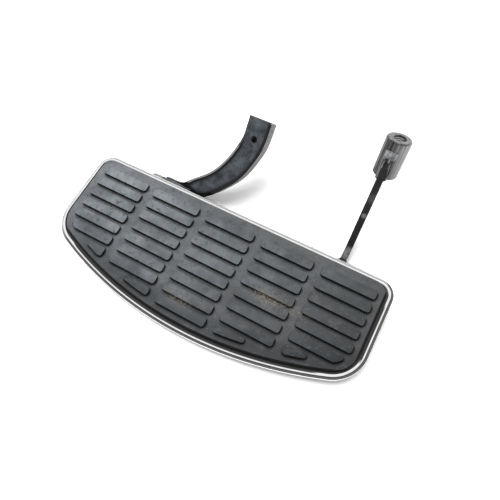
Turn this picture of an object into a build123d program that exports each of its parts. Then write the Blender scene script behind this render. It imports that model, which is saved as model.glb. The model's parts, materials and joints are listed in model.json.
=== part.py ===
from build123d import *
import os
from math import cos, hypot, pi, radians, sin, sqrt, tan

# Motorcycle floorboard: a cast tray with a ribbed rubber mat, hinged along its inboard edge
# on a curved cast arm and on a flat bar with a threaded boss.
# It is modelled with the deck level and the hinge axis along X through the origin, +Y inboard
# and +Z up. Everything is moved at the end, so that the row's origin is the upper end of the boss's thread.

# Deck outline, in plan
deck_length = 340.0
deck_width = 134.2
inboard_edge_y = 2.7            # inboard face of the tray, beyond the hinge axis
outboard_bow_radius = 403.0
inboard_corner_radius = 16.0
outboard_corner_radius = 36.0

# Heights above the hinge axis
floor_underside_z = 11.8
floor_thickness = 3.0
lip_height = 3.0                # lip's top above the tray floor's top
bead_drop = 1.4                 # outer bead's top below the lip's top
groove_drop = 0.8               # groove's bottom below the bead's top
skirt_bottom_z = 3.0

# Rim widths, from the outer face inwards
bead_width = 2.2
bead_round = 1.0
groove_width = 0.7
lip_width = 2.1
skirt_wall = 3.0
mat_gap = 2.2                   # open channel between the lip and the mat

# Rubber mat
mat_thickness = 5.0
rib_height = 2.0
rib_columns = 5
rib_rows = 8
rib_length = 54.7
rib_width = 9.6
rib_end_gap = 9.1
rib_side_gap = 3.9
mat_border = 7.4
rib_corner_radius = 2.5
rib_draft_deg = 8.0
mat_edge_round = 1.2
plug_stem_radius = 4.0
plug_head_radius = 6.5
plug_head_height = 3.0
plug_clearance = 0.2
plug_row_xs = (-104.0, -52.0, 0.0, 52.0, 104.0)     # long row, under the middle of the mat
plug_row_inset = 58.7                              # from the inboard face of the tray
plug_edge_xs = (-104.0, 0.0, 104.0)                # short row along the bowed edge
plug_edge_inset = 21.0
plug_corner_inset = 18.0
plug_middle_x = 20.0

# Cast ribs under the tray floor
cast_rib_width = 3.0
cast_rib_depth = 5.0
long_rib_ys = (-30.0, -82.0)
cross_rib_xs = (-130.0, -78.0, -26.0, 26.0, 78.0, 130.0)

# Hinge
pin_radius = 5.0
pin_running_clearance = 0.05
bush_wall = 1.95
bush_length = 10.0
bush_flange_radius = 8.2
bush_flange_thickness = 1.5
side_play = 0.3
pin_head_radius = 8.0
pin_head_thickness = 3.0
washer_radius = 8.5
washer_thickness = 1.5
pin_tail = 6.0                  # pin beyond the washer
split_pin_radius = 1.2
split_pin_leg = 9.0
split_pin_clearance = 0.1

# Curved arm's hinge, along X
curved_outer_ear = (-114.0, -100.6)
curved_inner_ear = (-40.3, -32.3)
curved_outer_ear_radius = 11.0
curved_inner_ear_radius = 8.5
curved_barrel_step_x = -66.0
ear_end_round = 3.0
ear_web_reach = 12.0            # how far an ear's web runs forward of its eye

# Bar arm's hinge, along X
bar_outer_ear = (129.0, 136.5)
bar_inner_ear = (84.5, 92.0)
bar_ear_radius = 8.5

# Curved arm, drawn in its own plane: first value along X, second up the slope from the hinge
curved_arm_slope_deg = 40.0
web_drop = 3.5                  # web's upper face below the hinge axis, square to the web
web_thickness = 4.0
web_end = 105.4
concave_straight = 15.4         # straight edges at the arm's end
convex_straight = 10.4
flange_thickness = 2.7
flange_height = 11.0
lip_rib_thickness = 2.0
lip_rib_height = 3.0
lip_rib_end = 84.0
lip_rib_taper = 12.0
concave_edge = [(-26.6, web_end - concave_straight), (-33.9, 60.5), (-50.5, 35.7), (-70.5, 19.0),
                (-88.0, 11.4)]
convex_edge = [(1.3, web_end - convex_straight), (-3.6, 65.4), (-12.3, 45.3), (-24.3, 29.8),
               (-41.8, 13.1), (-52.3, 5.6), (-72.0, -6.0)]
rim_steps = 8
relief_line = [(12.0, -3.4), (17.1, -0.5), (18.1, 3.0), (19.7, 8.5)]    # slope and height, for the fold
arm_boss_x = -15.2
arm_boss_from_end = 21.1
arm_boss_radius = 8.0
arm_boss_height = 9.0
arm_thread_radius = 3.4
arm_thread_length = 10.0
arm_thread_mouth_radius = 3.9

# Bar arm, drawn in the YZ plane
bar_centre_x = 113.1
bar_thickness = 6.4
bar_width = 14.0
bar_slope_deg = 49.4
bar_eye_radius = 11.0
bar_shoulder_z = 5.0
bar_bend_y = 21.9
bar_bend_round = 12.0
bar_barrel_radius = 8.5
bar_sink = 3.0                  # how far the bar's tip runs round the boss, past its flank
barrel_weld_size = 2.0

# Stops
toe_length = 21.0
toe_width = 14.0
toe_round = 2.0
stop_pad_radius = 6.5
stop_pad_thickness = 3.0
stop_gap = 0.3
stop_pad_y = -14.0
curved_toe_x = -84.0

# Threaded boss on the bar
boss_radius = 11.6
boss_length = 37.0
boss_slope_deg = 62.0
boss_x = 114.0
boss_foot_y = 84.1
boss_foot_z = 54.0
boss_thread_radius = 5.4
boss_thread_mouth_radius = 6.2
boss_end_round = 1.8
weld_seam_length = 22.0
weld_bead_radius = 2.2
weld_sink = 0.6                 # bead's middle, inside the line of the boss's flank
weld_cap = (11.0, 2.6, 12.0)    # width, thickness and height of the pad over the bar's tip

# Return spring
spring_wire_radius = 0.9
spring_radius = 6.2
spring_turns = 4.5
spring_pitch = 2.0
spring_deck_leg = 20.0
spring_arm_leg = 13.0          # both legs run forward, hidden by the deck
spring_bend_radius = 2.5
hook_depth = 3.0
hook_length = 7.0

# Ground pegs
peg_x = 60.0
peg_inset = 16.0                # from the bowed edge
peg_boss_radius = 8.5
peg_boss_bottom_z = 8.0
peg_head_radius = 8.0
peg_head_bottom_z = 0.0
peg_shank_radius = 4.0
peg_shank_length = 4.5

floor_top_z = floor_underside_z + floor_thickness
lip_top_z = floor_top_z + lip_height
bead_top_z = lip_top_z - bead_drop
mat_top_z = floor_top_z + mat_thickness
rib_top_z = mat_top_z + rib_height
lip_outer = bead_width + groove_width
lip_inner = lip_outer + lip_width
mat_inset = lip_inner + mat_gap
bush_outer_radius = pin_radius + pin_running_clearance + bush_wall
bar_low_x = bar_centre_x - bar_thickness / 2
bar_high_x = bar_centre_x + bar_thickness / 2
spring_drift = spring_deck_leg * spring_pitch / (2 * pi * spring_radius)
spring_start_x = bar_inner_ear[1] + side_play + spring_wire_radius + spring_drift
spring_end_x = spring_start_x + spring_turns * spring_pitch
bar_barrel_low_x = spring_end_x + spring_wire_radius + side_play + bush_flange_thickness
bar_barrel_high_x = bar_outer_ear[0] - side_play - bush_flange_thickness
curved_barrel_low_x = curved_outer_ear[1] + side_play + bush_flange_thickness
curved_barrel_high_x = curved_inner_ear[0] - side_play - bush_flange_thickness
boss_axis = (0.0, cos(radians(boss_slope_deg)), sin(radians(boss_slope_deg)))
boss_side = (0.0, -boss_axis[2], boss_axis[1])
boss_thread_length = boss_length - (boss_thread_mouth_radius - boss_thread_radius)
thread_start = (boss_x, boss_foot_y + boss_thread_length * boss_axis[1],
                boss_foot_z + boss_thread_length * boss_axis[2])


def deck_face(inset):
    """Deck outline, moved inwards by inset: straight inboard edge, short sides, bowed outboard edge."""
    half = deck_length / 2 - inset
    top = inboard_edge_y - inset
    radius = outboard_bow_radius - inset
    centre_y = inboard_edge_y - deck_width + outboard_bow_radius
    corner_y = centre_y - sqrt(radius**2 - half**2)
    edges = [
        Line((half, corner_y), (half, top)),
        Line((half, top), (-half, top)),
        Line((-half, top), (-half, corner_y)),
        ThreePointArc((-half, corner_y), (0, centre_y - radius), (half, corner_y)),
    ]
    face = make_face(edges)
    outboard = face.vertices().sort_by(Axis.Y)[:2]
    face = fillet(outboard, outboard_corner_radius - inset)
    inboard = face.vertices().sort_by(Axis.Y)[-2:]
    return fillet(inboard, inboard_corner_radius - inset)


def bowed_edge_y(x, inset):
    """Height in plan of the bowed outboard edge at x, moved inwards."""
    centre_y = inboard_edge_y - deck_width + outboard_bow_radius
    return centre_y - sqrt(outboard_bow_radius**2 - x**2) + inset


def plug_spots():
    """Places of the mat's plugs: a long row, a short row along the bow, two corners and the inboard middle."""
    corner_x = deck_length / 2 - plug_corner_inset
    spots = [(x, inboard_edge_y - plug_row_inset) for x in plug_row_xs]
    spots += [(x, bowed_edge_y(x, plug_edge_inset)) for x in plug_edge_xs]
    return spots + [(x, inboard_edge_y - plug_corner_inset) for x in (-corner_x, plug_middle_x, corner_x)]


def peg_spots():
    """Places of the two ground pegs."""
    return [(x, bowed_edge_y(x, peg_inset)) for x in (-peg_x, peg_x)]


def raised(face, low, high):
    """Solid on a plan face, between two heights."""
    return Pos(0, 0, low) * extrude(face, high - low, dir=(0, 0, 1))


def slab(inset, low, high):
    """Plate with the deck's outline between two heights."""
    return raised(deck_face(inset), low, high)


def rod(start_x, end_x, radius):
    """Solid cylinder along X on the hinge axis."""
    middle = (start_x + end_x) / 2
    return Pos(middle, 0, 0) * Rot(0, 90, 0) * Cylinder(radius, abs(end_x - start_x))


def tube(start_x, end_x, outer, inner):
    """Hollow cylinder along X on the hinge axis."""
    return rod(start_x, end_x, outer) - rod(start_x, end_x, inner)


def block(low, high):
    """Box between two corners."""
    size = [b - a for a, b in zip(low, high)]
    middle = [(a + b) / 2 for a, b in zip(low, high)]
    return Pos(*middle) * Box(*size)


def side_profile(face, low_x, high_x):
    """Extrude a face drawn in (Y, Z) from low_x to high_x."""
    plane = Plane(origin=(low_x, 0, 0), x_dir=(0, 1, 0), z_dir=(1, 0, 0))
    return plane * raised(face, 0, high_x - low_x)


def ear(span, radius, end_round=0):
    """One hinge ear: a round eye, its low-x end rounded if asked, on a web down from the tray floor."""
    web = Polygon((-radius - ear_web_reach, floor_underside_z + 1), (inboard_edge_y, floor_underside_z + 1),
                  (inboard_edge_y, floor_underside_z), (radius, 0), (-radius, 0), align=None)
    eye = rod(*span, radius)
    if end_round:
        eye = fillet(eye.faces().sort_by(Axis.X)[0].edges(), end_round)
    return eye + side_profile(web, span[0] + end_round, span[1])


def cast_ribs():
    """Stiffening ribs under the tray floor, kept inside the skirt and clear of the hinge."""
    low = floor_underside_z - cast_rib_depth
    field = slab(skirt_wall - 1, low, floor_underside_z + 1)
    half = cast_rib_width / 2
    ribs = [block((-deck_length, y - half, low), (deck_length, y + half, floor_top_z)) for y in long_rib_ys]
    ribs += [block((x - half, -deck_width, low), (x + half, long_rib_ys[0], floor_top_z))
             for x in cross_rib_xs]
    return [rib & field for rib in ribs]


def spring_hook():
    """Shelf that the spring's deck leg hooks over, on a forward extension of the bar's inner ear."""
    top = spring_radius - spring_wire_radius - pin_running_clearance
    front_y = -spring_deck_leg - 1
    hanger = block((bar_inner_ear[0], front_y, top - hook_depth), (bar_inner_ear[1], 0, floor_top_z))
    shelf = block((bar_inner_ear[0], front_y, top - hook_depth),
                  (spring_start_x + hook_depth, front_y + hook_length, top))
    return hanger + shelf


def make_tray():
    """Cast tray: floor, stepped rim, skirt, hinge ears, ribs and the holes for the mat's plugs."""
    body = slab(0, skirt_bottom_z, bead_top_z)
    body = fillet(body.faces().sort_by(Axis.Z)[-1].edges(), bead_round)
    body -= slab(bead_width, bead_top_z - groove_drop, bead_top_z + 1) - slab(lip_outer, 0, bead_top_z + 1)
    body += slab(lip_outer, floor_underside_z, lip_top_z)
    body -= slab(lip_inner, floor_top_z, lip_top_z + 1)
    body -= slab(skirt_wall, skirt_bottom_z - 1, floor_underside_z)
    clear_half = deck_length / 2 - inboard_corner_radius
    body -= block((-clear_half, inboard_edge_y - inboard_corner_radius, skirt_bottom_z - 1),
                  (clear_half, inboard_edge_y + 1, floor_underside_z))
    body += ear(curved_outer_ear, curved_outer_ear_radius, ear_end_round)
    body += ear(curved_inner_ear, curved_inner_ear_radius)
    body += [ear(span, bar_ear_radius) for span in (bar_inner_ear, bar_outer_ear)]
    body += cast_ribs() + [spring_hook()]
    for x, y in peg_spots():
        boss_height = floor_underside_z + 1 - peg_boss_bottom_z
        boss = Pos(x, y, peg_boss_bottom_z + boss_height / 2) * Cylinder(peg_boss_radius, boss_height)
        shank = Pos(x, y, peg_boss_bottom_z) * Cylinder(peg_shank_radius, 2 * peg_shank_length)
        head_room = Pos(x, y, peg_boss_bottom_z - floor_thickness) * Cylinder(
            peg_head_radius + side_play, 2 * floor_thickness)
        body += boss
        body -= [shank, head_room]
    hole = Cylinder(plug_stem_radius + plug_clearance, 4 * floor_thickness)
    body -= [Pos(x, y, floor_underside_z) * hole for x, y in plug_spots()]
    bore = pin_radius + pin_running_clearance
    return body - rod(curved_outer_ear[0] - 1, bar_outer_ear[1] + 1, bore)


def rib_faces():
    """Plan shape of every raised rib: a grid cut off along the mat's border, with rounded corners."""
    field = deck_face(mat_inset + mat_border)
    step_x = rib_length + rib_end_gap
    step_y = rib_width + rib_side_gap
    first_y = inboard_edge_y - mat_inset - mat_border - rib_width / 2
    faces = []
    for column in range(rib_columns):
        x = (column - (rib_columns - 1) / 2) * step_x
        for row in range(rib_rows):
            cell = Pos(x, first_y - row * step_y) * Rectangle(rib_length, rib_width) & field
            core = offset(cell, -rib_corner_radius, kind=Kind.INTERSECTION) if cell.area > rib_width**2 else None
            if core and core.area > rib_corner_radius**2:
                faces.append(offset(core, rib_corner_radius, kind=Kind.ARC))
    return faces


def make_mat():
    """Moulded mat with raised ribs above and mushroom plugs through the tray floor below."""
    body = slab(mat_inset, floor_top_z, mat_top_z)
    body = fillet(body.faces().sort_by(Axis.Z)[-1].edges(), mat_edge_round)
    for face in rib_faces():
        body += Pos(0, 0, mat_top_z) * extrude(face, rib_height, taper=rib_draft_deg)
    stem = Pos(0, 0, -floor_thickness / 2) * Cylinder(plug_stem_radius, floor_thickness + 2)
    head = Pos(0, 0, -floor_thickness - plug_clearance - plug_head_height / 2) * Cone(
        plug_stem_radius - 1, plug_head_radius, plug_head_height)
    body += [Pos(x, y, floor_top_z) * (stem + head) for x, y in plug_spots()]
    return body


def hinge_pin(head_x, far_ear_x, head_side):
    """Headed pin through a pair of ears, with a cross hole outside the washer; head_side is 1 or -1."""
    tail_x = far_ear_x - head_side * (washer_thickness + pin_tail)
    pin = rod(head_x, tail_x, pin_radius)
    pin = chamfer(pin.faces().sort_by(Axis.X)[0 if head_side > 0 else -1].edges(), 0.8)
    pin += rod(head_x, head_x + head_side * pin_head_thickness, pin_head_radius)
    hole_x = far_ear_x - head_side * (washer_thickness + pin_tail / 2)
    cross_hole = Rot(90, 0, 0) * Cylinder(split_pin_radius + split_pin_clearance, 4 * pin_radius)
    return pin - Pos(hole_x, 0, 0) * cross_hole


def hinge_washer(far_ear_x, head_side):
    """Flat washer between an ear and the split pin."""
    return tube(far_ear_x, far_ear_x - head_side * washer_thickness, washer_radius,
                pin_radius + pin_running_clearance)


def split_pin(far_ear_x, head_side):
    """Split pin through a hinge pin: a ring on its outboard side and a straight leg through it."""
    x = far_ear_x - head_side * (washer_thickness + pin_tail / 2)
    ring_radius = 2 * split_pin_radius
    leg = Cylinder(split_pin_radius, 2 * split_pin_leg)
    ring = Pos(0, 0, -split_pin_leg - ring_radius) * Rot(90, 0, 0) * Torus(ring_radius, split_pin_radius)
    return Pos(x, 0, 0) * Rot(-90, 0, 0) * (leg + ring)


def bush(barrel_end_x, inwards):
    """Flanged bush pressed into one end of a hinge barrel; inwards is the way into the barrel."""
    bore = pin_radius + pin_running_clearance
    sleeve = tube(barrel_end_x, barrel_end_x + inwards * bush_length, bush_outer_radius, bore)
    return sleeve + tube(barrel_end_x, barrel_end_x - inwards * bush_flange_thickness, bush_flange_radius, bore)


def toe(low_x, high_x):
    """Stop toe that reaches forward from a hinge barrel to just under its rubber pad."""
    top = floor_underside_z - stop_pad_thickness - stop_gap
    bottom = side_play - spring_radius + spring_wire_radius
    outline = Polygon((-toe_length, top), (0, top), (0, bottom), (-toe_length, bottom), align=None)
    outline = fillet(outline.vertices().sort_by(Axis.X)[:2], toe_round)
    return side_profile(outline, low_x, high_x)


def concave_line():
    """Concave edge of the curved arm's web, from its straight end down to its hinge."""
    return Spline(*concave_edge, tangents=[(0, -1), (-1, 0)])


def convex_line():
    """Convex edge of the curved arm, from its hinge up to its straight end."""
    return Spline(*reversed(convex_edge), tangents=[(1, 0.4), (0, 1)])


def arm_outline():
    """Curved arm's web in its own plane."""
    left = curved_barrel_low_x
    edges = [
        concave_line(),
        Line(concave_edge[-1], (left, concave_edge[-1][1])),
        Line((left, concave_edge[-1][1]), (left, convex_edge[-1][1])),
        Line((left, convex_edge[-1][1]), convex_edge[-1]),
        convex_line(),
        Line(convex_edge[0], (convex_edge[0][0], web_end)),
        Line((convex_edge[0][0], web_end), (concave_edge[0][0], web_end)),
        Line((concave_edge[0][0], web_end), concave_edge[0]),
    ]
    return make_face(edges)


def arm_rim(edge, thickness, height):
    """Raised rim on the web's side of one of its curved edges."""
    inner_points = []
    for step in range(rim_steps + 1):
        way = edge % (step / rim_steps)
        inner_points.append(edge @ (step / rim_steps) + Vector(-way.Y, way.X) * thickness)
    inner = Spline(*inner_points)
    strip = make_face([edge, Line(edge @ 1, inner @ 1), inner, Line(inner @ 0, edge @ 0)])
    return raised(strip, -web_drop - web_thickness / 2, height - web_drop)


def fold_relief():
    """Space above the web, near the hinge, that the deck's rim sweeps through as it folds."""
    high = flange_height + web_drop
    corners = [(-web_end, relief_line[0][1])] + relief_line
    corners += [(relief_line[-1][0], high), (-web_end, high)]
    return side_profile(Polygon(*corners, align=None), -deck_length / 2, deck_length / 2)


def beyond_lip():
    """Space above a slant that runs the inner lip out to nothing before the arm's end."""
    start = (lip_rib_end - lip_rib_taper, lip_rib_height - web_drop)
    end = (lip_rib_end, -web_drop - 0.1)
    corners = [start, end, (2 * web_end, end[1]), (2 * web_end, web_end), (start[0], web_end)]
    return side_profile(Polygon(*corners, align=None), -deck_length / 2, deck_length / 2)


def threaded_bore(radius, mouth_radius, length):
    """Plain bore down from the origin for a thread, with a countersunk mouth."""
    depth = mouth_radius - radius
    return Pos(0, 0, -length / 2) * Cylinder(radius, length) + Pos(0, 0, -depth / 2) * Cone(
        radius, mouth_radius, depth)


def make_curved_arm():
    """Cast arm: curved web with an outer flange and an inner lip, hinge barrel, toe and end boss."""
    end_x, end_s = convex_edge[0]
    body = raised(arm_outline(), -web_drop - web_thickness, -web_drop)
    body += arm_rim(convex_line(), flange_thickness, flange_height)
    body += block((end_x - flange_thickness, end_s, -web_drop - web_thickness / 2),
                  (end_x, web_end, flange_height - web_drop))
    body += arm_rim(concave_line(), lip_rib_thickness, lip_rib_height) - beyond_lip()
    body -= fold_relief()
    web_top = Pos(arm_boss_x, web_end - arm_boss_from_end, -web_drop)
    boss_z = -web_thickness / 2 - arm_boss_height / 2
    body += web_top * Pos(0, 0, boss_z) * Cylinder(arm_boss_radius, arm_boss_height + web_thickness)
    body -= web_top * threaded_bore(arm_thread_radius, arm_thread_mouth_radius, arm_thread_length)
    body = Rot(curved_arm_slope_deg, 0, 0) * body
    body += rod(curved_barrel_low_x, curved_barrel_step_x, curved_outer_ear_radius)
    body += rod(curved_barrel_step_x, curved_barrel_high_x, curved_inner_ear_radius)
    body += toe(curved_toe_x - toe_width / 2, curved_toe_x + toe_width / 2)
    body -= rod(curved_barrel_low_x, curved_barrel_high_x, bush_outer_radius)
    return body


def boss_point(depth, along):
    """Point (y, z) a depth inside the boss's flank that faces the bar, and a distance up from its foot."""
    reach = boss_radius - depth
    return (boss_foot_y + reach * boss_side[1] + along * boss_axis[1],
            boss_foot_z + reach * boss_side[2] + along * boss_axis[2])


def tip_along(depth):
    """Distance up from the boss's foot to where the bar's top edge meets it, a depth inside its flank."""
    y, z = boss_point(depth, 0)
    slope = tan(radians(bar_slope_deg))
    short = bar_shoulder_z + (y - bar_bend_y) * slope - z
    return short / (boss_axis[2] - boss_axis[1] * slope)


def bar_outline():
    """Bar seen from the side: level shoulder at the hinge, bend, and a long slope up into the boss."""
    along = (cos(radians(bar_slope_deg)), sin(radians(bar_slope_deg)))
    foot = boss_point(0, 0)
    foot_depth = (foot[0] - bar_bend_y) * along[1] - (foot[1] - bar_shoulder_z) * along[0]
    left = bar_width - foot_depth
    under_foot = (foot[0] + along[1] * left, foot[1] - along[0] * left)
    upper_bend = (bar_bend_y, bar_shoulder_z)
    lower_bend = (bar_bend_y + bar_width * tan(radians(bar_slope_deg / 2)), bar_shoulder_z - bar_width)
    blade = Polygon((0, bar_shoulder_z), upper_bend, boss_point(bar_sink, tip_along(bar_sink)),
                    boss_point(bar_sink, 0), foot, under_foot, lower_bend, (0, -bar_eye_radius), align=None)
    bends = [near(blade.vertices(), upper_bend), near(blade.vertices(), lower_bend)]
    return fillet(bends, bar_bend_round)


def near(points, target):
    """The vertex closest to a point of the sketch."""
    return min(points, key=lambda vertex: hypot(vertex.X - target[0], vertex.Y - target[1]))


def make_bar():
    """Flat bar on edge with the eye for its barrel and the stop toe, its tip cut to fit the boss."""
    plate = side_profile(bar_outline() + Circle(bar_eye_radius), bar_low_x, bar_high_x)
    plate += toe(bar_low_x, bar_high_x)
    plate -= rod(bar_low_x - 1, bar_high_x + 1, bar_barrel_radius)
    return plate - boss_place(boss_length) * Cylinder(boss_radius, 2 * boss_length)


def boss_place(along):
    """Place on the boss's axis, with local Z along the axis."""
    origin = (boss_x, boss_foot_y + along * boss_axis[1], boss_foot_z + along * boss_axis[2])
    return Plane(origin=origin, x_dir=(1, 0, 0), z_dir=boss_axis)


def make_boss():
    """Round boss, threaded right through, with rounded ends and a countersunk mouth."""
    body = Cylinder(boss_radius, boss_length)
    body = fillet(body.edges().filter_by(GeomType.CIRCLE), boss_end_round)
    bore = threaded_bore(boss_thread_radius, boss_thread_mouth_radius, boss_length)
    return boss_place(boss_length / 2) * (body - Pos(0, 0, boss_length / 2) * bore)


def weld_place(x, along):
    """Place on the seam between the bar and the boss, with local Z along the boss's axis."""
    return Plane(origin=(x, *boss_point(weld_sink, along)), x_dir=(1, 0, 0), z_dir=boss_axis)


def make_boss_welds(bar):
    """Two beads along the bar's sides and one over its tip, lying against the bar and the boss."""
    seam = Cylinder(weld_bead_radius, weld_seam_length)
    seam = fillet(seam.edges().filter_by(GeomType.CIRCLE), weld_bead_radius - 0.3)
    middle = weld_seam_length / 2 - weld_bead_radius + 1
    welds = weld_place(bar_low_x, middle) * seam + weld_place(bar_high_x, middle) * seam
    cap = Box(*weld_cap)
    cap = fillet(cap.edges(), 0.45 * weld_cap[1])
    welds += weld_place(bar_centre_x, tip_along(0) + weld_cap[2] / 3) * cap
    welds -= boss_place(boss_length / 2) * Cylinder(boss_radius, 2 * boss_length)
    return (welds - bar).solids().sort_by(SortBy.VOLUME)[-1]


def make_barrel_welds():
    """Ring fillets where the barrel passes through the bar, one on each side."""
    size = barrel_weld_size
    rings = []
    for x, way in ((bar_low_x, -1), (bar_high_x, 1)):
        ring = Cone(bar_barrel_radius + size, bar_barrel_radius, size) - Cylinder(bar_barrel_radius, 2 * size)
        rings.append(Pos(x + way * size / 2, 0, 0) * Rot(0, 90 * way, 0) * ring)
    return Compound(children=rings)


def make_spring():
    """Torsion spring: one leg forward over the tray's hook, the other bent under the bar's toe."""
    frame = Plane(origin=(spring_start_x, 0, 0), x_dir=(0, 0, 1), z_dir=(1, 0, 0))
    coil = frame * Helix(spring_pitch, spring_turns * spring_pitch, spring_radius, lefthand=True)
    deck_leg = Line(coil @ 0 - (coil % 0) * spring_deck_leg, coil @ 0)
    arm_leg = Line(coil @ 1, coil @ 1 + (coil % 1) * (spring_arm_leg - spring_bend_radius))
    turned = arm_leg @ 1 + (coil % 1) * spring_bend_radius + Vector(spring_bend_radius, 0, 0)
    bend = TangentArc(arm_leg @ 1, turned, tangent=coil % 1)
    under_toe = Line(bend @ 1, bend @ 1 + (bend % 1) * (bar_high_x - (bend @ 1).X))
    path = Wire([piece.edges()[0] for piece in (deck_leg, coil, arm_leg, bend, under_toe)])
    quarters = [CenterArc((0, 0), spring_wire_radius, turn, 90) for turn in (0, 90, 180, 270)]
    return sweep(Plane(origin=path @ 0, z_dir=path % 0) * make_face(quarters), path=path)


def make_stop_pads():
    """Rubber pads stuck under the tray floor above the two toes."""
    pad = Cylinder(stop_pad_radius, stop_pad_thickness)
    z = floor_underside_z - stop_pad_thickness / 2
    return Compound(children=[Pos(x, stop_pad_y, z) * pad for x in (curved_toe_x, bar_centre_x)])


def make_ground_pegs():
    """Domed bolts screwed up into the tray's outboard bosses."""
    pegs = []
    for x, y in peg_spots():
        height = peg_boss_bottom_z - peg_head_bottom_z
        head = Cylinder(peg_head_radius, height)
        head = fillet(head.edges().filter_by(GeomType.CIRCLE).sort_by(Axis.Z)[0], 0.6 * peg_head_radius)
        shank = Pos(0, 0, (height + peg_shank_length) / 2) * Cylinder(peg_shank_radius, peg_shank_length)
        pegs.append(Pos(x, y, peg_head_bottom_z + height / 2) * (head + shank))
    return Compound(children=pegs)


def build():
    """Every node of the floorboard by name."""
    bar = make_bar()
    return {
        "tray": make_tray(),
        "rubber_mat": make_mat(),
        "stop_pads": make_stop_pads(),
        "ground_pegs": make_ground_pegs(),
        "curved_arm_pin": hinge_pin(curved_outer_ear[0], curved_inner_ear[1], -1),
        "bar_arm_pin": hinge_pin(bar_outer_ear[1], bar_inner_ear[0], 1),
        "pin_washers": Compound(children=[hinge_washer(curved_inner_ear[1], -1),
                                          hinge_washer(bar_inner_ear[0], 1)]),
        "split_pins": Compound(children=[split_pin(curved_inner_ear[1], -1), split_pin(bar_inner_ear[0], 1)]),
        "curved_arm": make_curved_arm(),
        "curved_arm_bushes": Compound(children=[bush(curved_barrel_low_x, 1), bush(curved_barrel_high_x, -1)]),
        "bar_arm": bar,
        "bar_barrel": tube(bar_barrel_low_x, bar_barrel_high_x, bar_barrel_radius, bush_outer_radius),
        "bar_arm_bushes": Compound(children=[bush(bar_barrel_low_x, 1), bush(bar_barrel_high_x, -1)]),
        "barrel_welds": make_barrel_welds(),
        "frame_boss": make_boss(),
        "boss_welds": make_boss_welds(bar),
        "return_spring": make_spring(),
    }


os.makedirs("parts", exist_ok=True)
to_row = Pos(*[-value for value in thread_start])
for node_name, node in build().items():
    export_step(to_row * node, "parts/" + node_name + ".step")
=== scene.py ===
import json
import math

import bmesh
import bpy
from mathutils import Matrix, Vector


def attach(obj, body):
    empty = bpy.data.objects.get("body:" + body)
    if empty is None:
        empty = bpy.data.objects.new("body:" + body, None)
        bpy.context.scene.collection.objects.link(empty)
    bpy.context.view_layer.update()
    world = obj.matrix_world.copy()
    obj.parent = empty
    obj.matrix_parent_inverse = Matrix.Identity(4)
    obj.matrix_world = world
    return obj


# Looks of the motorcycle floorboard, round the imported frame, in metres of the row frame.
# Places beside the hinge axis, heights over it and widths are in mm, and slopes in degrees.

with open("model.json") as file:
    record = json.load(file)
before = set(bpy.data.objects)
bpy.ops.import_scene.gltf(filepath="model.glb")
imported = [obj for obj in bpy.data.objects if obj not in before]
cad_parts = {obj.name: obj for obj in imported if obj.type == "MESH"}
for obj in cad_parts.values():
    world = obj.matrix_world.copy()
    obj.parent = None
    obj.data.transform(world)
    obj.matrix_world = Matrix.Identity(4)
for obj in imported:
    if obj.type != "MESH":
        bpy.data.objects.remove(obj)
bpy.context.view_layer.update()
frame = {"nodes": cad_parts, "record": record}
nodes = frame["nodes"]
scene = bpy.context.scene

MM = 0.001
RIGHT = Vector((1, 0, 0))
INBOARD = Vector((0, 1, 0))
UP = Vector((0, 0, 1))


# Hinge axis, from the frame

def reach(name, direction):
    """Least and greatest reach of a node along a direction."""
    node = nodes[name]
    spots = [(node.matrix_world @ vertex.co).dot(direction) for vertex in node.data.vertices]
    return min(spots), max(spots)


def middle(name, direction):
    """Middle of a node along a direction."""
    return sum(reach(name, direction)) / 2


HINGE = Vector((middle("tray", RIGHT), middle("bar_barrel", INBOARD), middle("bar_barrel", UP)))


def place(x, y, z):
    """Row-frame point from millimetres beside the hinge axis."""
    return HINGE + Vector((x, y, z)) * MM


def slope_way(degrees):
    """Direction up a slope that rises inboard."""
    return Vector((0, math.cos(math.radians(degrees)), math.sin(math.radians(degrees))))


# Deck: half its length, its bowed edge, and heights
DECK_HALF = 170.0
BOW_CENTRE_Y = 271.5
BOW_RADIUS = 403.0
FLOOR_TOP = 14.8
GROOVE_BOTTOM = 15.6
BEAD_TOP = 16.4
MAT_TOP = 19.8
RIB_TOP = 21.8

# Mat: its corner without dust and in painted shade, the direction in which dust and a painted sheen grow
# from there, and how far they grow
CLEAN_SHADED_CORNER = (150, -100, 0)
DUST_AND_SHEEN_WAY = (-0.90, 0.44, 0)
DUST_AND_SHEEN_REACH = 300

# Zones of the deck's looks. Two values go from none to full, and four from none to full and back.
# They are insets from the deck's edge, places to the right or inboard, or heights.
RUBBER_BORDER_HEIGHT = (MAT_TOP + 1.2, MAT_TOP + 0.6)
RUBBER_BOW_INSET = (36, 18)
RUBBER_BOW_RIGHT = (-165, -120)
BRIM_BOW_INSET = (9.4, 9.0)
BRIM_END_INSET = (9.8, 8.8)
OUTER_BOW_INSET = (9, 6)
OUTER_END_INSET = (12, 8)
INNER_INSET = (4.0, 4.4, 7.0, 8.0)
INNER_BOW_RIGHT = (-138, -132, 132, 138)
INNER_END_INBOARD = (-80, -74, -24, -18)
INNER_HEIGHT = (FLOOR_TOP - 0.2, FLOOR_TOP + 0.2)
CAST_HEIGHT = (FLOOR_TOP + 0.4, FLOOR_TOP - 0.2)
BEAD_RIGHT = (-168, -140)
BEAD_HEIGHT = (FLOOR_TOP - 0.2, FLOOR_TOP + 0.2, BEAD_TOP + 0.1, BEAD_TOP + 0.4)
SHADE_LINE_HEIGHT = (BEAD_TOP - 0.3, BEAD_TOP - 0.1, BEAD_TOP + 0.2, BEAD_TOP + 0.4)
GROOVE_HEIGHT = (13.0, 14.0, GROOVE_BOTTOM + 0.1, GROOVE_BOTTOM + 0.3)
LIP_SIDE_HEIGHT = (GROOVE_BOTTOM + 0.15, GROOVE_BOTTOM + 0.35)
GAP_INBOARD = (-9.0, -8.0, -1.6, -1.2)
GAP_HEIGHT = (12.5, 13.0)
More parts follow.
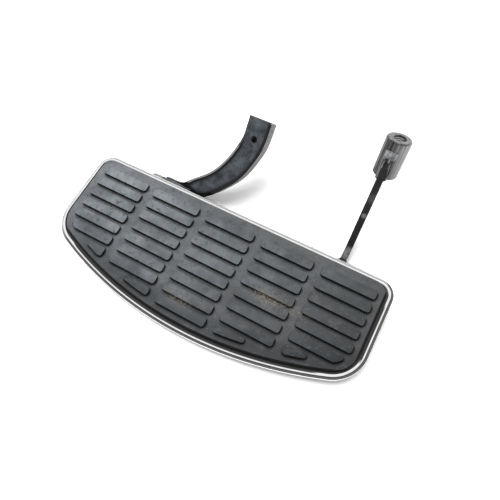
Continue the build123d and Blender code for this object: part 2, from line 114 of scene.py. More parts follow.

# Direction of the rim's outboard face, which stays bright, without the bead's painted shade
RIM_OUTBOARD = (0.35, -0.94, 0)

# Strip of the mat up to the rim's lip: from under the mat, past the mat's edge, to the lip
EDGE_HALF = 156.7
EDGE_STRAIGHT_HALF = 149.5
EDGE_BACK_Y = -7.0
EDGE_SHOULDER_Y = -4.5
EDGE_FRONT_Y = -2.35
EDGE_BOTTOM = 15.2
EDGE_TOP = MAT_TOP + 0.05
EDGE_ROUND = 0.8
EDGE_ARC_STEPS = 8

# Curved arm: places in its sloping plane are to the right and up the slope
ARM_SLOPE = 40.0
ARM_BEND = (-101.5, 97.1)
ARM_RADIUS = 102.9
ARM_FLANGE = 3.8
ARM_FLANGE_GROWTH = 2.8
ARM_GROWTH_RISE = (40, 100)
ARM_FLANGE_SIDE = (0.85, -0.38, -0.32)
ARM_HOLE = (-15.2, 84.3)
ARM_HOLE_RADIUS = 4.0
ARM_HOLE_TOP = -3.6
LIP_TOP = -0.5

# Boss and its welds, and how far below their top the welds turn silvery
BOSS_SLOPE = 62.0
BOSS_AXIS = slope_way(BOSS_SLOPE)
BOSS_TURN = (math.radians(BOSS_SLOPE - 90), 0, 0)
WELD_END = (-8.0, -5.5)

# Thread ridges: steps in a turn, start below the bore's face, root in the wall, half width in pitches
THREAD_STEPS = 28
THREAD_START = 0.4
THREAD_ROOT = 0.03
THREAD_HALF = 0.42

# Spots that the deck rests on: the underside of the hinge and of the ground pegs
HINGE_REST = (0, 0, -11.0)
PEGS_REST = (0, -111.0, 0)

# Floor, in metres: half its width and the reach of its nearer part
FLOOR_HALF = 20.0
FLOOR_NEAR = 3.0

# Light: the side that it comes from, for the mat's shade and for the sky, the sky's slope and
# mean, and the spot that the lamps face
LIT_SIDE = (-0.45, 0.55, 0.70)
SKY_SIDE = (-0.35, 0.60, 0.72)
SKY_SLOPE = 0.225
SKY_MEAN = 0.36
LAMPS_FACE = place(0, -60, 10)

# Camera, as fitted to the corners of the mat's ribs: focal length and width of the photo in pixels
FOCAL_PIXELS = 415.4
PHOTO_PIXELS = 500
SENSOR = 36.0
CAMERA_PLACE = (125.4, -144.6, 396.8)
CAMERA_RIGHT = Vector((0.8769, 0.4744, -0.0769))
CAMERA_DOWN = Vector((0.4187, -0.8327, -0.3624))
CAMERA_FORWARD = Vector((-0.236, 0.2856, -0.9288))

# Smudges and nicks on the ribs: place, radius and, for smudges, strength
SMUDGES = [
    ((-7.6, -102.6), 11, 0.6),
    ((71.2, -64.1), 14, 0.7),
    ((98.1, -62.8), 8, 0.5),
    ((63.6, -63.7), 10, 0.6),
]
NICKS = [((-127.0, -23.8), 1.6), ((-64.0, -89.6), 1.8), ((63.3, -36.5), 1.6)]

# Rubbed spots on the bar, lightened with painted highlights: place, radius and strength
RUB_HIGHLIGHTS = [((113.6, 46.5, 33.5), 3, 0.9), ((114.6, 58.5, 47.5), 6, 0.25)]


def grey(value):
    """Colour without a hue."""
    return (value, value, value)


# Colours: a pair is the dark and the light end of a mottled tone
DEEP_SHADE = grey(0.003)
# Near black for the nicks, and for the painted shade along the mat's brim
NICK_AND_SHADE_BLACK = grey(0.006)
# Rubber: a base tone lightened by dust and a painted sheen, and the tone without dust, in painted shade
RUBBER_DUST_AND_SHEEN = ((0.145, 0.157, 0.172), (0.285, 0.308, 0.332))
RUBBER_CLEAN_AND_SHADED = (0.044, 0.048, 0.051)
RUBBER_BORDER = (0.116, 0.116, 0.118)
RUBBER_BOW = (0.024, 0.027, 0.030)
RUBBER_BLOTCH = (0.072, 0.079, 0.084)
RUBBER_FILM = (0.28, 0.29, 0.29)
RUBBER_SPECK = (0.30, 0.30, 0.28)
DUST = (0.30, 0.25, 0.19)
ALUMINIUM = (grey(0.80), grey(0.95))
ALUMINIUM_CAST = (0.30, 0.30, 0.295)
# Dirt and painted shade in the rim's groove, on the lip's sides and inside the lip
RIM_GRIME_AND_SHADE = grey(0.035)
# Painted shade on the rim's bead along the bow and the right end
RIM_BEAD = grey(0.10)
# Painted shade: the thin grey line at the bead's inner edge
RIM_SHADE_LINE = grey(0.30)
# Painted light: pale walls in the shaded gap between the mat and the rim
GAP_WALL_PAINTED_LIGHT = grey(0.9)
PAINT_CHIP = (0.24, 0.24, 0.23)
ARM_PAINT = ((0.018, 0.022, 0.027), (0.108, 0.121, 0.136))
# Wear and painted highlights on the arm's flange side and lip
ARM_WORN_AND_HIGHLIT = (0.27, 0.275, 0.27)
ARM_HOLE_GREY = grey(0.10)
BAR_PAINT = ((0.004, 0.004, 0.005), (0.018, 0.019, 0.021))
# Painted highlights on the bar: in patches on its level shoulder, and at the rubbed spots
BAR_SHOULDER_HIGHLIGHT = (0.20, 0.205, 0.21)
BAR_RUB_HIGHLIGHT = (0.20, 0.205, 0.20)
# Boss: its left side in painted shade, its face and right side in painted light
BOSS_SHADED = (grey(0.020), grey(0.14))
BOSS_LIT = (grey(0.11), grey(0.30))
WELD_DARK = (grey(0.010), grey(0.20))
WELD_LIGHT = ((0.10, 0.104, 0.108), (0.32, 0.33, 0.34))
THREAD_STEEL = ((0.30, 0.30, 0.29), (0.52, 0.52, 0.50))
ZINC = ((0.45, 0.45, 0.44), (0.62, 0.62, 0.60))
BRONZE = ((0.40, 0.28, 0.14), (0.58, 0.42, 0.22))
SPRING_STEEL = ((0.07, 0.07, 0.07), (0.16, 0.16, 0.16))
FLOOR_NEAR_WHITE = grey(1.5)
FLOOR_FAR_WHITE = grey(4.0)
FLOOR_BOUNCE = grey(0.8)


# Shader steps

def material(name):
    """New material, with its node tree and its Principled shader."""
    mat = bpy.data.materials.new(name)
    mat.use_nodes = True
    tree = mat.node_tree
    return mat, tree, tree.nodes["Principled BSDF"]


def feed(tree, value, socket):
    """Link a socket to another, or set a number or a colour on it."""
    if hasattr(value, "links"):
        tree.links.new(value, socket)
    elif isinstance(value, (int, float)):
        socket.default_value = value
    else:
        socket.default_value = (*value, 1.0)


def mix(tree, factor, a, b):
    """Mix two colours by a factor."""
    node = tree.nodes.new("ShaderNodeMix")
    node.data_type = "RGBA"
    feed(tree, factor, node.inputs[0])
    feed(tree, a, node.inputs[6])
    feed(tree, b, node.inputs[7])
    return node.outputs[2]


def cover(tree, colour, layers):
    """Lay tints over a colour, each with its share."""
    for share, tint in layers:
        colour = mix(tree, share, colour, tint)
    return colour


def maths(tree, operation, *values, clamp=False):
    """One arithmetic step on sockets or numbers."""
    node = tree.nodes.new("ShaderNodeMath")
    node.operation = operation
    node.use_clamp = clamp
    for value, socket in zip(values, node.inputs):
        feed(tree, value, socket)
    return node.outputs[0]


def chain(tree, operation, values):
    """One operation over sockets and numbers, from left to right."""
    result = values[0]
    for value in values[1:]:
        result = maths(tree, operation, result, value)
    return result


def times(tree, *values):
    """Product of sockets and numbers."""
    return chain(tree, "MULTIPLY", values)


def most(tree, *values):
    """Greatest of sockets and numbers."""
    return chain(tree, "MAXIMUM", values)


def inverse(tree, value):
    """What a share leaves of 1."""
    return maths(tree, "SUBTRACT", 1.0, value)


def step(tree, value, low, high):
    """0 below low, 1 above high, straight between; low may be above high."""
    node = tree.nodes.new("ShaderNodeMapRange")
    node.inputs["From Min"].default_value = low
    node.inputs["From Max"].default_value = high
    tree.links.new(value, node.inputs["Value"])
    return node.outputs["Result"]


def band(tree, value, start, full, fade, end):
    """0 up to start, 1 from full to fade, 0 from end on."""
    return times(tree, step(tree, value, start, full), step(tree, value, end, fade))


def ramp(tree, value, low, high, tones):
    """Pair of tones over a value, the first up to low and the second from high on."""
    node = tree.nodes.new("ShaderNodeValToRGB")
    for element, spot, colour in zip(node.color_ramp.elements, (low, high), tones):
        element.position = spot
        element.color = (*colour, 1.0)
    tree.links.new(value, node.inputs["Fac"])
    return node.outputs["Color"]


def own_place(tree):
    """Place on the piece's own coordinates."""
    return tree.nodes.new("ShaderNodeTexCoord").outputs["Object"]


def noise(tree, scale, detail=4.0, rough=0.6, stretch=(1, 1, 1), turn=(0, 0, 0)):
    """Noise on the piece's own coordinates, turned and stretched if asked."""
    mapping = tree.nodes.new("ShaderNodeMapping")
    mapping.vector_type = "TEXTURE"
    mapping.inputs["Rotation"].default_value = turn
    mapping.inputs["Scale"].default_value = [1 / value for value in stretch]
    tex = tree.nodes.new("ShaderNodeTexNoise")
    tex.inputs["Scale"].default_value = scale
    tex.inputs["Detail"].default_value = detail
    tex.inputs["Roughness"].default_value = rough
    tree.links.new(own_place(tree), mapping.inputs["Vector"])
    tree.links.new(mapping.outputs["Vector"], tex.inputs["Vector"])
    return tex.outputs["Fac"]


def distance(tree, centre, scale):
    """Distance from a point on the piece's own coordinates, each axis scaled."""
    move = tree.nodes.new("ShaderNodeMapping")
    move.inputs["Location"].default_value = [-c * s for c, s in zip(centre, scale)]
    move.inputs["Scale"].default_value = scale
    length = tree.nodes.new("ShaderNodeVectorMath")
    length.operation = "LENGTH"
    tree.links.new(own_place(tree), move.inputs["Vector"])
    tree.links.new(move.outputs["Vector"], length.inputs[0])
    return length.outputs["Value"]


def patch(tree, centre, radius, stretch=(1, 1, 1)):
    """Soft round spot: 1 at its centre, 0 beyond its radius in metres."""
    away = distance(tree, centre, [value / radius for value in stretch])
    return maths(tree, "SUBTRACT", 1.0, away, clamp=True)


def dot(tree, vector, direction):
    """Dot product of a vector and a fixed direction."""
    node = tree.nodes.new("ShaderNodeVectorMath")
    node.operation = "DOT_PRODUCT"
    node.inputs[1].default_value = direction
    tree.links.new(vector, node.inputs[0])
    return node.outputs["Value"]


def height(tree, origin, direction):
    """Height in mm over a plane through a point, on the piece's own coordinates."""
    way = Vector(direction) / MM
    return maths(tree, "SUBTRACT", dot(tree, own_place(tree), way), Vector(origin).dot(way))


def facing(tree, direction):
    """How far the surface faces a fixed direction, from -1 to 1."""
    geometry = tree.nodes.new("ShaderNodeNewGeometry")
    return dot(tree, geometry.outputs["Normal"], direction)


def ring(tree, centre, along, up):
    """Distance in mm from a point of the plane through the hinge axis that two directions span."""
    squares = []
    for value, way in zip(centre, (along, up)):
        offset = height(tree, HINGE + value * MM * way, way)
        squares.append(maths(tree, "POWER", offset, 2.0))
    return maths(tree, "SQRT", maths(tree, "ADD", *squares))


def bow_inset(tree):
    """Distance in mm inwards from the deck's bowed edge."""
    flat_scale = (1 / MM, 1 / MM, 0)
    return maths(tree, "SUBTRACT", BOW_RADIUS, distance(tree, place(0, BOW_CENTRE_Y, 0), flat_scale))


def end_inset(tree):
    """Distance in mm inwards from the deck's right end."""
    return maths(tree, "SUBTRACT", DECK_HALF, height(tree, HINGE, RIGHT))


def edge_zone(tree, bow_insets, end_insets):
    """Zone along the bow and the right end, each from its own insets."""
    bow = step(tree, bow_inset(tree), *bow_insets)
    end = step(tree, end_inset(tree), *end_insets)
    return most(tree, bow, end)


def corners(tree, limit, towards=None):
    """Openness of a spot within a limit in metres, to one fixed side if given: 0 deep in a corner."""
    node = tree.nodes.new("ShaderNodeAmbientOcclusion")
    node.samples = 8
    node.only_local = True
    node.inputs["Distance"].default_value = limit
    if towards:
        side = tree.nodes.new("ShaderNodeCombineXYZ")
        for socket, value in zip(side.inputs, towards):
            socket.default_value = value
        tree.links.new(side.outputs["Vector"], node.inputs["Normal"])
    return node.outputs["AO"]


def bump(tree, shader, relief, strength, depth):
    """Fine relief on the shader's normal, its depth in metres."""
    node = tree.nodes.new("ShaderNodeBump")
    node.inputs["Strength"].default_value = strength
    node.inputs["Distance"].default_value = depth
    tree.links.new(relief, node.inputs["Height"])
    tree.links.new(node.outputs["Normal"], shader.inputs["Normal"])


def seen(tree):
    """1 for a ray that shows the surface, 0 for a ray that only carries its light."""
    paths = tree.nodes.new("ShaderNodeLightPath").outputs
    shown = maths(tree, "ADD", paths["Is Camera Ray"], paths["Is Glossy Ray"])
    return maths(tree, "ADD", shown, paths["Is Transmission Ray"], clamp=True)


# Rubber

def rubber_zones(tree):
    """Layers by place: without dust and in painted shade at the right outboard corner, other tones on the
    border and the bow.
    """
    clean_and_shaded = step(tree, height(tree, place(*CLEAN_SHADED_CORNER), DUST_AND_SHEEN_WAY), DUST_AND_SHEEN_REACH, 0)
    border = step(tree, height(tree, HINGE, UP), *RUBBER_BORDER_HEIGHT)
    from_left = step(tree, height(tree, HINGE, RIGHT), *RUBBER_BOW_RIGHT)
    bow = times(tree, step(tree, bow_inset(tree), *RUBBER_BOW_INSET), from_left)
    return [
        (clean_and_shaded, RUBBER_CLEAN_AND_SHADED),
        (times(tree, border, 0.42), RUBBER_BORDER),
        (times(tree, bow, 0.6), RUBBER_BOW),
    ]


def rubber_film_and_shade(tree, blotch):
    """Layers all over the mat: blotches, a film and specks of dust, and black painted shade along its
    outer brim.
    """
    film = noise(tree, 110, 6, 0.75, stretch=(0.6, 1, 1), turn=(0, 0, math.radians(20)))
    speck = noise(tree, 620, 2, 0.5)
    # Painted shade: the mat's outer brim in black, where the gap to the rim lies in shadow
    brim = edge_zone(tree, BRIM_BOW_INSET, BRIM_END_INSET)
    return [
        (times(tree, step(tree, blotch, 0.55, 0.66), 0.85), RUBBER_BLOTCH),
        (times(tree, step(tree, film, 0.52, 0.66), 0.17), RUBBER_FILM),
        (times(tree, step(tree, speck, 0.66, 0.72), 0.25), RUBBER_SPECK),
        (brim, NICK_AND_SHADE_BLACK),
    ]


def rubber_marks(tree):
    """Layers at single spots: smudges of dust and dark nicks on the ribs."""
    dust = step(tree, noise(tree, 420, 6, 0.75), 0.47, 0.60)
    layers = []
    for centre, radius, strength in SMUDGES:
        spot = patch(tree, place(*centre, RIB_TOP), radius * MM, stretch=(0.55, 1.2, 1))
        layers.append((times(tree, spot, strength, dust), DUST))
    for centre, radius in NICKS:
        spot = patch(tree, place(*centre, RIB_TOP), radius * MM)
        layers.append((step(tree, spot, 0.0, 0.35), NICK_AND_SHADE_BLACK))
    return layers


def rubber():
    """Worn rubber, lightened by dust and a painted sheen, and dark with painted shade where it is shut off
    from the side that the light comes from.
    """
    mat, tree, shader = material("mat_rubber")
    blotch = noise(tree, 190, 5, 0.7)
    shade = step(tree, corners(tree, 0.0040, LIT_SIDE), 0.82, 0.66)
    layers = rubber_zones(tree) + rubber_film_and_shade(tree, blotch) + [(shade, DEEP_SHADE)] + rubber_marks(tree)
    # Base tone, lightened by dust and a painted sheen; the layers darken it towards the right outboard
    # corner with painted shade
    dust_and_sheen = ramp(tree, noise(tree, 30, 5, 0.65), 0.38, 0.62, RUBBER_DUST_AND_SHEEN)
    tree.links.new(cover(tree, dust_and_sheen, layers), shader.inputs["Base Color"])
    tops = ramp(tree, blotch, 0.3, 0.7, (grey(0.48), grey(0.64)))
    tree.links.new(mix(tree, shade, tops, grey(1.0)), shader.inputs["Roughness"])
    shader.inputs["Specular IOR Level"].default_value = 0.15
    bump(tree, shader, noise(tree, 1100, 3), 0.25, 0.0002)
    return mat


# Aluminium

def inner_rim(tree):
    """Rim's inner part, along the middle of the bow and of the right end."""
    bow = times(tree, band(tree, bow_inset(tree), *INNER_INSET),
                band(tree, height(tree, HINGE, RIGHT), *INNER_BOW_RIGHT))
    end = times(tree, band(tree, end_inset(tree), *INNER_INSET),
                band(tree, height(tree, HINGE, INBOARD), *INNER_END_INBOARD))
    return most(tree, bow, end)


def rim_bead(tree, outer, level, up):
    """Painted shade on the bead along the bow and the right end, on its top and not on its outboard face.
    """
    from_left = step(tree, height(tree, HINGE, RIGHT), *BEAD_RIGHT)
    not_outboard = step(tree, facing(tree, RIM_OUTBOARD), 0.60, 0.40)
    top = times(tree, band(tree, level, *BEAD_HEIGHT), step(tree, up, 0.4, 0.65))
    return times(tree, outer, from_left, top, not_outboard)


def rim_shade_line(tree, outer, level, up):
    """Thin line of painted shade at the bead's inner edge, where the rim runs along the straight side and
    the left end.
    """
    top = times(tree, band(tree, level, *SHADE_LINE_HEIGHT), step(tree, up, 0.90, 0.97))
    return times(tree, inverse(tree, outer), top, 0.7)


def rim_grime_and_shade(tree, bead, level, up):
    """Dirt and painted shade in the groove, on the lip's steep sides, on the bead and inside the lip."""
    groove = times(tree, band(tree, level, *GROOVE_HEIGHT), step(tree, up, 0.6, 0.9))
    side = times(tree, step(tree, level, *LIP_SIDE_HEIGHT), step(tree, up, 0.35, 0.15))
    inner = times(tree, inner_rim(tree), step(tree, level, *INNER_HEIGHT))
    return most(tree, groove, side, bead, inner)


def gap_walls(tree, level, up):
    """Walls of the gap between the mat and the rim, along the straight side: painted light, pale and not
    metallic, where the gap lies in shade.
    """
    inboard = band(tree, height(tree, HINGE, INBOARD), *GAP_INBOARD)
    return times(tree, inboard, step(tree, level, *GAP_HEIGHT), step(tree, up, 0.7, 0.4))


def aluminium():
    """Cast tray with a polished rim: dirt and painted shade in its groove, painted shade on the bead along
    the bow and right end and in a thin line at its inner edge, and painted light on the gap's walls.
    """
    mat, tree, shader = material("cast_aluminium")
    level = height(tree, HINGE, UP)
    up = facing(tree, UP)
    outer = edge_zone(tree, OUTER_BOW_INSET, OUTER_END_INSET)
    walls = gap_walls(tree, level, up)
    bead = rim_bead(tree, outer, level, up)
    shade_line = rim_shade_line(tree, outer, level, up)
    # Dirt and painted shade on the rim, kept off the gap's walls, which get painted light
    grime_and_shade = times(tree, rim_grime_and_shade(tree, bead, level, up), inverse(tree, walls))
    cast = step(tree, level, *CAST_HEIGHT)
    layers = [
        (cast, ALUMINIUM_CAST),
        (grime_and_shade, RIM_GRIME_AND_SHADE),
        (bead, RIM_BEAD),
        (shade_line, RIM_SHADE_LINE),
        (walls, GAP_WALL_PAINTED_LIGHT),
    ]
    polished = ramp(tree, noise(tree, 90, 4), 0.3, 0.7, ALUMINIUM)
    tree.links.new(cover(tree, polished, layers), shader.inputs["Base Color"])
    plain = most(tree, grime_and_shade, shade_line, walls)
    tree.links.new(inverse(tree, plain), shader.inputs["Metallic"])
    rough = mix(tree, cast, grey(0.24), grey(0.5))
    tree.links.new(mix(tree, plain, rough, grey(0.8)), shader.inputs["Roughness"])
    bump(tree, shader, noise(tree, 500, 3), 0.15, 0.0001)
    return mat


# Paint

def paint(name, tones, chip_share):
    """Old gloss paint with a mottled film, fine chips, and dark corners."""
    mat, tree, shader = material(name)
    cloud = noise(tree, 120, 6, 0.7)
    scuff = noise(tree, 500, 5, 0.65)
    chips = times(tree, step(tree, scuff, 0.66, 0.72), chip_share)
    shade = step(tree, corners(tree, 0.006), 0.95, 0.62)
    colour = cover(tree, ramp(tree, cloud, 0.36, 0.66, tones), [(chips, PAINT_CHIP), (shade, DEEP_SHADE)])
    gloss = ramp(tree, cloud, 0.3, 0.7, (grey(0.38), grey(0.6)))
    tree.links.new(gloss, shader.inputs["Roughness"])
    bump(tree, shader, scuff, 0.35, 0.0003)
    return mat, tree, shader, colour


def arm_paint():
    """Curved arm: wear and painted highlights on the flange side and lip, black painted shade along the
    flange's foot and top.
    """
    mat, tree, shader, colour = paint("arm_paint", ARM_PAINT, 0.6)
    up_arm = slope_way(ARM_SLOPE)
    off_arm = slope_way(ARM_SLOPE + 90)
    level = height(tree, HINGE, off_arm)
    flat = step(tree, facing(tree, off_arm), 0.6, 0.85)
    growth = times(tree, step(tree, height(tree, HINGE, up_arm), *ARM_GROWTH_RISE), ARM_FLANGE_GROWTH)
    out = maths(tree, "ADD", ring(tree, ARM_BEND, RIGHT, up_arm), growth)
    flange = step(tree, out, ARM_RADIUS - ARM_FLANGE - 0.8, ARM_RADIUS - ARM_FLANGE)
    patchy = step(tree, noise(tree, 260, 4, 0.7), 0.28, 0.55)
    side = times(tree, step(tree, facing(tree, ARM_FLANGE_SIDE), 0.5, 0.8), patchy, 0.75)
    lip = times(tree, band(tree, level, LIP_TOP - 0.7, LIP_TOP - 0.2, LIP_TOP + 0.2, LIP_TOP + 0.5),
                flat, inverse(tree, flange), step(tree, patchy, 0.0, 0.5))
    in_hole = step(tree, ring(tree, ARM_HOLE, RIGHT, up_arm), ARM_HOLE_RADIUS + 0.1, ARM_HOLE_RADIUS - 0.1)
    hole = times(tree, in_hole, step(tree, level, ARM_HOLE_TOP, ARM_HOLE_TOP - 0.3))
    # Painted shade in black on the flange's top, and wear with painted highlights on its side and on the
    # lip
    layers = [
        (times(tree, flange, flat), DEEP_SHADE),
        (most(tree, side, lip), ARM_WORN_AND_HIGHLIT),
        (hole, ARM_HOLE_GREY),
    ]
    tree.links.new(cover(tree, colour, layers), shader.inputs["Base Color"])
    shader.inputs["Specular IOR Level"].default_value = 0.3
    return mat


def bar_paint():
    """Flat bar: black gloss, with a grey painted highlight in patches on the level shoulder and at a few
    rubbed spots up its edge.
    """
    mat, tree, shader, colour = paint("bar_paint", BAR_PAINT, 0.5)
    # Painted highlight in patches where the bar's shoulder faces up
    level = step(tree, facing(tree, UP), 0.78, 0.96)
    patchy = step(tree, noise(tree, 260, 4, 0.7), 0.3, 0.55)
    layers = [(times(tree, level, patchy, 0.8), BAR_SHOULDER_HIGHLIGHT)]
    # Rubbed spots, lightened with painted highlights
    for centre, radius, strength in RUB_HIGHLIGHTS:
        spot = step(tree, patch(tree, place(*centre), radius * MM), 0.0, 0.5)
        layers.append((times(tree, spot, strength), BAR_RUB_HIGHLIGHT))
    tree.links.new(cover(tree, colour, layers), shader.inputs["Base Color"])
    shader.inputs["Specular IOR Level"].default_value = 0.25
    return mat


# Bare metal

def bare(tree, shader, colour, rough, relief, depth):
    """Give a shader the colour, roughness and fine relief of bare metal."""
    tree.links.new(colour, shader.inputs["Base Color"])
    shader.inputs["Metallic"].default_value = 1.0
    shader.inputs["Roughness"].default_value = rough
    bump(tree, shader, relief, 0.3, depth)


def metal(name, tones, rough, scale=220, depth=0.0002):
    """Bare metal with a mottled tone and dark corners."""
    mat, tree, shader = material(name)
    cloud = noise(tree, scale, 5, 0.65)
    shade = step(tree, corners(tree, 0.003), 0.8, 0.3)
    colour = mix(tree, shade, ramp(tree, cloud, 0.32, 0.68, tones), grey(0.03))
    bare(tree, shader, colour, rough, cloud, depth)
    return mat


def boss_steel():
    """Scaled steel with streaks along its axis, turning marks with painted reflections, darker on its left
    side than on its face and right: painted shade and painted light.
    """
    mat, tree, shader = material("bare_steel")
    streak = noise(tree, 380, 5, 0.65, stretch=(1, 1, 0.04), turn=BOSS_TURN)
    dark = ramp(tree, streak, 0.40, 0.62, BOSS_SHADED)
    light = ramp(tree, streak, 0.38, 0.64, BOSS_LIT)
    # Painted light on the face and the right side; the rest stays in painted shade
    face = step(tree, facing(tree, BOSS_AXIS), 0.7, 0.95)
    right = step(tree, facing(tree, RIGHT), 0.1, 0.95)
    shade = step(tree, corners(tree, 0.002), 0.8, 0.3)
    colour = cover(tree, dark, [(most(tree, face, right), light), (shade, grey(0.02))])
    bare(tree, shader, colour, 0.38, streak, 0.0002)
    return mat


def weld_steel():
    """Weld beside the bar: dark with streaks along the boss, silvery at its upper end."""
    mat, tree, shader = material("weld_steel")
    streak = noise(tree, 420, 4, 0.6, stretch=(1, 1, 0.06), turn=BOSS_TURN)
    dark = ramp(tree, streak, 0.45, 0.62, WELD_DARK)
    light = ramp(tree, noise(tree, 240, 4, 0.6), 0.35, 0.65, WELD_LIGHT)
    top = reach("boss_welds", BOSS_AXIS)[1]
    end = step(tree, height(tree, BOSS_AXIS * top, BOSS_AXIS), *WELD_END)
    bare(tree, shader, mix(tree, end, dark, light), 0.42, streak, 0.0003)
    return mat


MATERIALS = {
    "rubber": rubber(),
    "aluminium": aluminium(),
    "bar": bar_paint(),
    "arm": arm_paint(),
    "boss": boss_steel(),
    "weld": weld_steel(),
    "thread": metal("thread_steel", THREAD_STEEL, 0.35, scale=400, depth=0.0001),
    "zinc": metal("zinc_steel", ZINC, 0.35),
    "bronze": metal("bronze_bush", BRONZE, 0.4),
    "spring": metal("spring_steel", SPRING_STEEL, 0.35),
}
NODES_OF_MATERIAL = {
    "rubber": ("rubber_mat", "stop_pads"),
    "aluminium": ("tray",),
    "bar": ("bar_arm", "bar_barrel", "barrel_welds"),
    "arm": ("curved_arm",),
    "boss": ("frame_boss",),
    "weld": ("boss_welds",),
    "zinc": ("curved_arm_pin", "bar_arm_pin", "pin_washers", "split_pins", "ground_pegs"),
    "bronze": ("curved_arm_bushes", "bar_arm_bushes"),
    "spring": ("return_spring",),
}
for key, names in NODES_OF_MATERIAL.items():
    for name in names:
        data = nodes[name].data
        data.materials.clear()
        data.materials.append(MATERIALS[key])


# Mat: its edge up to the rim, along the straight inboard side

def mat_edge():
    """Strip from the mat's border to the rim's lip, rounded off towards the mat's corners."""
    width = EDGE_HALF - EDGE_STRAIGHT_HALF
    depth = EDGE_FRONT_Y - EDGE_SHOULDER_Y
    radius = (width ** 2 + depth ** 2) / (2 * depth)
    right = []
    for i in range(EDGE_ARC_STEPS + 1):
        out = width * i / EDGE_ARC_STEPS
        right.append((EDGE_STRAIGHT_HALF + out, EDGE_FRONT_Y - radius + math.sqrt(radius ** 2 - out ** 2)))
    left = [(-x, y) for x, y in reversed(right)]
    outline = left + right + [(EDGE_HALF, EDGE_BACK_Y), (-EDGE_HALF, EDGE_BACK_Y)]
    count = len(outline)
    spots = [place(x, y, z) for z in (EDGE_BOTTOM, EDGE_TOP) for x, y in outline]
    sides = [(i, i + count, (i + 1) % count + count, (i + 1) % count) for i in range(count)]
    caps = [tuple(range(count)), tuple(reversed(range(count, 2 * count)))]
    mesh = bpy.data.meshes.new("mat_edge")
    mesh.from_pydata(spots, [], caps + sides)
    piece = bpy.data.objects.new("mat_edge", mesh)
    scene.collection.objects.link(piece)
    edge = piece.modifiers.new("round", "BEVEL")
    edge.width = EDGE_ROUND * MM
    edge.segments = 3
    mesh.materials.append(MATERIALS["rubber"])
    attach(piece, "deck")


mat_edge()


# Threads: the ridge inside each bore

def ridge_rings(bm, radius, end, pitch, depth):
    """Triangles along a helix down a bore, low at both ends of the ridge."""
    count = int((end - THREAD_START) / pitch * THREAD_STEPS)
    rings = []
    for i in range(count + 1):
        angle = 2 * math.pi * i / THREAD_STEPS
        down = THREAD_START + pitch * i / THREAD_STEPS
        crest = radius - depth * min(1.0, i / THREAD_STEPS, (count - i) / THREAD_STEPS)
        root = radius + THREAD_ROOT
        triangle = []
        for r, rise in ((root, THREAD_HALF), (crest, 0.0), (root, -THREAD_HALF)):
            triangle.append(bm.verts.new((r * math.cos(angle), r * math.sin(angle), -down + pitch * rise)))
        rings.append(triangle)
    return rings


def thread(name, mount, end, pitch, depth, body, key):
    """Helical ridge of triangular section, closed, down a threaded bore of the record."""
    bm = bmesh.new()
    rings = ridge_rings(bm, mount["dims"]["r_mm"], end, pitch, depth)
    for a, b in zip(rings, rings[1:]):
        for j in range(3):
            k = (j + 1) % 3
            bm.faces.new((a[j], a[k], b[k], b[j]))
    bm.faces.new(rings[0])
    bm.faces.new(rings[-1][::-1])
    bmesh.ops.recalc_face_normals(bm, faces=bm.faces)
    bmesh.ops.scale(bm, vec=(MM, MM, MM), verts=bm.verts)
    mesh = bpy.data.meshes.new(name)
    bm.to_mesh(mesh)
    bm.free()
    piece = bpy.data.objects.new(name, mesh)
    scene.collection.objects.link(piece)
    turn = Vector(mount["axis"]).normalized().to_track_quat("Z", "Y").to_matrix().to_4x4()
    piece.matrix_world = Matrix.Translation(Vector(mount["pos_m"])) @ turn
    mesh.materials.append(MATERIALS[key])
    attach(piece, body)


mounts = {mount["name"]: mount for mount in frame["record"]["mounts"]}
thread("boss_thread_ridge", mounts["boss_thread"], end=35.6, pitch=1.75, depth=0.45,
       body="bar_arm", key="thread")
thread("arm_thread_ridge", mounts["arm_bolt_hole"], end=9.0, pitch=1.25, depth=0.32,
       body="curved_arm", key="arm")


# Floor: the plane that the hinge and the ground pegs rest on

def floor_look(back):
    """Burnt out white where it is seen, most of all far away, and plain white where it bounces light."""
    mat, tree, shader = material("floor")
    near = step(tree, patch(tree, back, FLOOR_NEAR), 0.5, 0.85)
    white = mix(tree, near, FLOOR_FAR_WHITE, FLOOR_NEAR_WHITE)
    tree.links.new(mix(tree, seen(tree), FLOOR_BOUNCE, white), shader.inputs["Base Color"])
    shader.inputs["Roughness"].default_value = 1.0
    shader.inputs["Specular IOR Level"].default_value = 0.0
    return mat


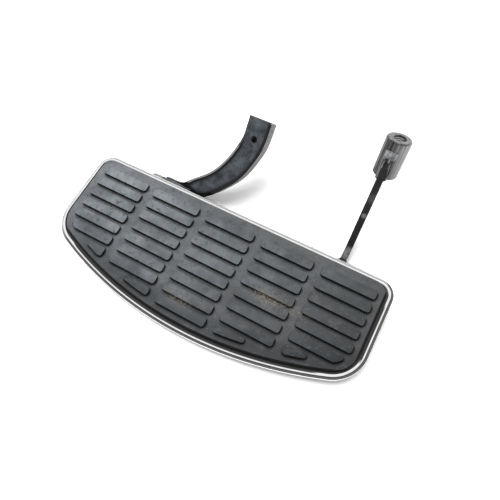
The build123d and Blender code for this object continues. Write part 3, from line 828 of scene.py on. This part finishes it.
def plane_floor():
    """Square floor, tilted so that the deck rests on its hinge and pegs."""
    back = place(*HINGE_REST)
    front = place(*PEGS_REST)
    slope = math.atan2(front.z - back.z, back.y - front.y)
    square = [(FLOOR_HALF * x, FLOOR_HALF * y, 0) for x, y in ((-1, -1), (1, -1), (1, 1), (-1, 1))]
    mesh = bpy.data.meshes.new("floor")
    mesh.from_pydata(square, [], [(0, 1, 2, 3)])
    floor = bpy.data.objects.new("floor", mesh)
    scene.collection.objects.link(floor)
    floor.location = back
    floor.rotation_euler = (-slope, 0, 0)
    mesh.materials.append(floor_look(back))


plane_floor()


# Light

def area(name, offset, width, power):
    """Square lamp over the deck, kept out of reflections so that the polished rim isn't burnt out."""
    data = bpy.data.lights.new(name, "AREA")
    data.size = width
    data.energy = power
    lamp = bpy.data.objects.new(name, data)
    scene.collection.objects.link(lamp)
    lamp.visible_glossy = False
    lamp.location = LAMPS_FACE + Vector(offset)
    lamp.rotation_euler = (-Vector(offset)).to_track_quat("-Z", "Y").to_euler()


def sky():
    """White where it is seen, and a soft slope of light from one side where it isn't."""
    world = bpy.data.worlds.new("world")
    scene.world = world
    world.use_nodes = True
    tree = world.node_tree
    coordinates = tree.nodes.new("ShaderNodeTexCoord")
    side = dot(tree, coordinates.outputs["Generated"], SKY_SIDE)
    soft = maths(tree, "MULTIPLY_ADD", side, SKY_SLOPE, SKY_MEAN)
    background = tree.nodes["Background"]
    background.inputs["Color"].default_value = (1, 1, 1, 1)
    tree.links.new(most(tree, seen(tree), soft), background.inputs["Strength"])


area("key", offset=(-0.13, 0.15, 1.2), width=0.6, power=9)
area("top", offset=(0.0, 0.3, 1.6), width=1.2, power=5)
sky()


# Camera

def camera():
    """Camera that sees the deck as the photo does."""
    data = bpy.data.cameras.new("camera")
    data.sensor_fit = "HORIZONTAL"
    data.sensor_width = SENSOR
    data.lens = FOCAL_PIXELS / PHOTO_PIXELS * SENSOR
    data.clip_start = 0.01
    data.clip_end = 20.0
    cam = bpy.data.objects.new("camera", data)
    scene.collection.objects.link(cam)
    turn = Matrix((CAMERA_RIGHT, -CAMERA_DOWN, -CAMERA_FORWARD)).transposed().to_4x4()
    cam.matrix_world = Matrix.Translation(place(*CAMERA_PLACE)) @ turn
    scene.camera = cam


camera()
scene.view_settings.view_transform = "Standard"
